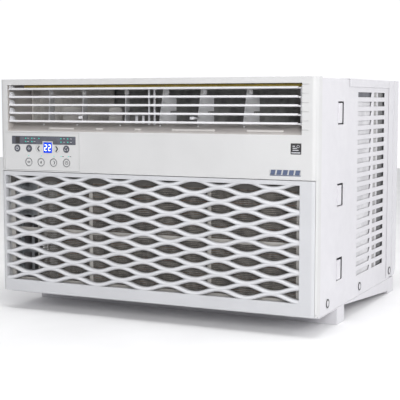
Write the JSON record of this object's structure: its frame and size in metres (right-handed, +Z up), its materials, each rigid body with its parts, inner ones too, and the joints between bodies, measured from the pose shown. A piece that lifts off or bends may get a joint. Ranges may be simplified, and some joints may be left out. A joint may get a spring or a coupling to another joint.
{
  "type": "window air conditioner",
  "caption": "White window air conditioner: louvred air outlet, keypad, wavy intake grille with lift-out filter, slotted steel cabinet on a base pan, coils, compressor and twin-ended fan inside",
  "frame": {"origin": "on the floor plane under the middle of the unit's bounding box", "axes": "+X to the right when facing the front, -Y out of the front grille, +Z up"},
  "size_m": [0.6, 0.48, 0.414],
  "materials": {
    "white_plastic": "satin white moulded ABS",
    "grille_plastic": "semi-gloss white moulded ABS",
    "painted_steel": "white powder coat on steel sheet",
    "duct_plastic": "warm grey matt",
    "dark_plastic": "charcoal matt",
    "key_grey": "dark grey print on matt plastic",
    "display_lens": "backlit blue window",
    "strip_lens": "smoked window strip",
    "foam": "olive closed-cell foam",
    "filter_net": "woven dark filter net",
    "coil_aluminium": "bare fin stock",
    "copper": "bare copper tube",
    "black_steel": "black enamel",
    "galvanised": "zinc coated",
    "circuit_board": "solder mask",
    "badge_blue": "slate blue inlay",
    "label_dark": "dark printed film"
  },
  "bodies": {
    "cabinet": {"base_pan": "painted_steel", "cabinet_wrapper": "painted_steel", "rear_top_panel": "painted_steel", "rear_frame": "painted_steel", "cord_gland": "dark_plastic", "front_bezel": "white_plastic", "badge": "badge_blue", "info_label": "label_dark", "outlet_duct": "duct_plastic", "louver_support": "grille_plastic", "foam_seal": "foam", "control_panel": "white_plastic", "display_strip": "strip_lens", "display_window": "display_lens", "control_board": "circuit_board", "evaporator_coil": "coil_aluminium", "blower_scroll": "dark_plastic", "bulkhead": "galvanised", "fan_motor": "black_steel", "fan_shroud": "galvanised", "condenser_coil": "coil_aluminium", "compressor": "black_steel", "accumulator": "black_steel", "suction_pipe": "copper", "discharge_pipe": "copper", "cabinet_screw_left_front": "galvanised", "cabinet_screw_left_middle": "galvanised", "cabinet_screw_left_rear": "galvanised", "cabinet_screw_right_front": "galvanised", "cabinet_screw_right_middle": "galvanised", "cabinet_screw_right_rear": "galvanised"},
    "grille": {"intake_grille": "grille_plastic"},
    "air_filter": {"filter_frame": "key_grey", "filter_net": "filter_net"},
    "louver_link": {"louver_link": "grille_plastic"},
    "vane_link_left": {"vane_link_left": "dark_plastic"},
    "vane_link_right": {"vane_link_right": "dark_plastic"},
    "rotor": {"motor_shaft": "galvanised", "blower_wheel": "dark_plastic", "condenser_fan": "dark_plastic"},
    "blade_1": {"louver_blade_1": "grille_plastic"},
    "blade_2": {"louver_blade_2": "grille_plastic"},
    "blade_3": {"louver_blade_3": "grille_plastic"},
    "blade_4": {"louver_blade_4": "grille_plastic"},
    "blade_5": {"louver_blade_5": "grille_plastic"},
    "vane_1": {"vane_1": "grille_plastic"},
    "vane_2": {"vane_2": "grille_plastic"},
    "vane_3": {"vane_3": "grille_plastic"},
    "vane_4": {"vane_4": "grille_plastic"},
    "vane_5": {"vane_5": "grille_plastic"},
    "vane_6": {"vane_6": "grille_plastic"},
    "key_power": {"button_power": "key_grey"},
    "key_mode": {"button_mode": "key_grey"},
    "key_down": {"button_down": "key_grey"},
    "key_up": {"button_up": "key_grey"},
    "key_fan_speed": {"button_fan_speed": "key_grey"},
    "key_filter_reset": {"button_filter_reset": "white_plastic"},
    "key_energy_saver": {"button_energy_saver": "white_plastic"},
    "key_sleep": {"button_sleep": "white_plastic"},
    "key_timer": {"button_timer": "white_plastic"}
  },
  "joints": [
    {"name": "grille_swing", "type": "hinge", "parent": "cabinet", "child": "grille", "pos_m": [0, -0.235, 0.0375], "axis": [1, 0, 0], "range_deg": [0, 40]},
    {"name": "filter_lift", "type": "slide", "parent": "cabinet", "child": "air_filter", "axis": [0, 0, 1], "range_m": [0, 0.007]},
    {"name": "blade_1_tilt", "type": "hinge", "parent": "cabinet", "child": "blade_1", "pos_m": [0, -0.23, 0.3964], "axis": [1, 0, 0], "range_deg": [-17, 33]},
    {"name": "blade_2_tilt", "type": "hinge", "parent": "cabinet", "child": "blade_2", "pos_m": [0, -0.23, 0.3822], "axis": [1, 0, 0], "range_deg": [-17, 33]},
    {"name": "blade_3_tilt", "type": "hinge", "parent": "cabinet", "child": "blade_3", "pos_m": [0, -0.23, 0.368], "axis": [1, 0, 0], "range_deg": [-17, 33]},
    {"name": "blade_4_tilt", "type": "hinge", "parent": "cabinet", "child": "blade_4", "pos_m": [0, -0.23, 0.3538], "axis": [1, 0, 0], "range_deg": [-17, 33]},
    {"name": "blade_5_tilt", "type": "hinge", "parent": "cabinet", "child": "blade_5", "pos_m": [0, -0.23, 0.3396], "axis": [1, 0, 0], "range_deg": [-17, 33]},
    {"name": "louver_link_swing", "type": "hinge", "parent": "blade_1", "child": "louver_link", "pos_m": [0.2685, -0.225, 0.3964], "axis": [1, 0, 0], "range_deg": [-33, 17]},
    {"name": "vane_1_swing", "type": "hinge", "parent": "cabinet", "child": "vane_1", "pos_m": [-0.218, -0.198, 0.37], "axis": [0, 0, 1], "range_deg": [-50, 10]},
    {"name": "vane_2_swing", "type": "hinge", "parent": "cabinet", "child": "vane_2", "pos_m": [-0.148, -0.198, 0.37], "axis": [0, 0, 1], "range_deg": [-50, 10]},
    {"name": "vane_3_swing", "type": "hinge", "parent": "cabinet", "child": "vane_3", "pos_m": [-0.062, -0.198, 0.37], "axis": [0, 0, 1], "range_deg": [-50, 10]},
    {"name": "vane_4_swing", "type": "hinge", "parent": "cabinet", "child": "vane_4", "pos_m": [0.016, -0.198, 0.37], "axis": [0, 0, 1], "range_deg": [-16, 44]},
    {"name": "vane_5_swing", "type": "hinge", "parent": "cabinet", "child": "vane_5", "pos_m": [0.087, -0.198, 0.37], "axis": [0, 0, 1], "range_deg": [-16, 44]},
    {"name": "vane_6_swing", "type": "hinge", "parent": "cabinet", "child": "vane_6", "pos_m": [0.17, -0.198, 0.37], "axis": [0, 0, 1], "range_deg": [-16, 44]},
    {"name": "vane_link_left_swing", "type": "hinge", "parent": "vane_2", "child": "vane_link_left", "pos_m": [-0.15262, -0.18531, 0.355], "axis": [0, 0, 1], "range_deg": [-10, 50]},
    {"name": "vane_link_right_swing", "type": "hinge", "parent": "vane_5", "child": "vane_link_right", "pos_m": [0.09027, -0.1849, 0.355], "axis": [0, 0, 1], "range_deg": [-44, 16]},
    {"name": "power_press", "type": "slide", "parent": "cabinet", "child": "key_power", "axis": [0, 1, 0], "range_m": [0, 0.0005], "stiffness_N_per_m": 1000, "springref_m": -0.0005},
    {"name": "mode_press", "type": "slide", "parent": "cabinet", "child": "key_mode", "axis": [0, 1, 0], "range_m": [0, 0.0005], "stiffness_N_per_m": 1000, "springref_m": -0.0005},
    {"name": "down_press", "type": "slide", "parent": "cabinet", "child": "key_down", "axis": [0, 1, 0], "range_m": [0, 0.0005], "stiffness_N_per_m": 1000, "springref_m": -0.0005},
    {"name": "up_press", "type": "slide", "parent": "cabinet", "child": "key_up", "axis": [0, 1, 0], "range_m": [0, 0.0005], "stiffness_N_per_m": 1000, "springref_m": -0.0005},
    {"name": "fan_speed_press", "type": "slide", "parent": "cabinet", "child": "key_fan_speed", "axis": [0, 1, 0], "range_m": [0, 0.0005], "stiffness_N_per_m": 1000, "springref_m": -0.0005},
    {"name": "filter_reset_press", "type": "slide", "parent": "cabinet", "child": "key_filter_reset", "axis": [0, 1, 0], "range_m": [0, 0.0005], "stiffness_N_per_m": 1000, "springref_m": -0.0005},
    {"name": "energy_saver_press", "type": "slide", "parent": "cabinet", "child": "key_energy_saver", "axis": [0, 1, 0], "range_m": [0, 0.0005], "stiffness_N_per_m": 1000, "springref_m": -0.0005},
    {"name": "sleep_press", "type": "slide", "parent": "cabinet", "child": "key_sleep", "axis": [0, 1, 0], "range_m": [0, 0.0005], "stiffness_N_per_m": 1000, "springref_m": -0.0005},
    {"name": "timer_press", "type": "slide", "parent": "cabinet", "child": "key_timer", "axis": [0, 1, 0], "range_m": [0, 0.0005], "stiffness_N_per_m": 1000, "springref_m": -0.0005},
    {"name": "fan_spin", "type": "hinge", "parent": "cabinet", "child": "rotor", "pos_m": [-0.06, 0, 0.205], "axis": [0, 1, 0], "continuous": true}
  ],
  "couplings": [
    {"joint": "blade_2_tilt", "follows": "blade_1_tilt", "ratio": 1},
    {"joint": "blade_3_tilt", "follows": "blade_1_tilt", "ratio": 1},
    {"joint": "blade_4_tilt", "follows": "blade_1_tilt", "ratio": 1},
    {"joint": "blade_5_tilt", "follows": "blade_1_tilt", "ratio": 1},
    {"joint": "louver_link_swing", "follows": "blade_1_tilt", "ratio": -1},
    {"joint": "vane_1_swing", "follows": "vane_2_swing", "ratio": 1},
    {"joint": "vane_3_swing", "follows": "vane_2_swing", "ratio": 1},
    {"joint": "vane_4_swing", "follows": "vane_5_swing", "ratio": 1},
    {"joint": "vane_6_swing", "follows": "vane_5_swing", "ratio": 1},
    {"joint": "vane_link_left_swing", "follows": "vane_2_swing", "ratio": -1},
    {"joint": "vane_link_right_swing", "follows": "vane_5_swing", "ratio": -1}
  ]
}
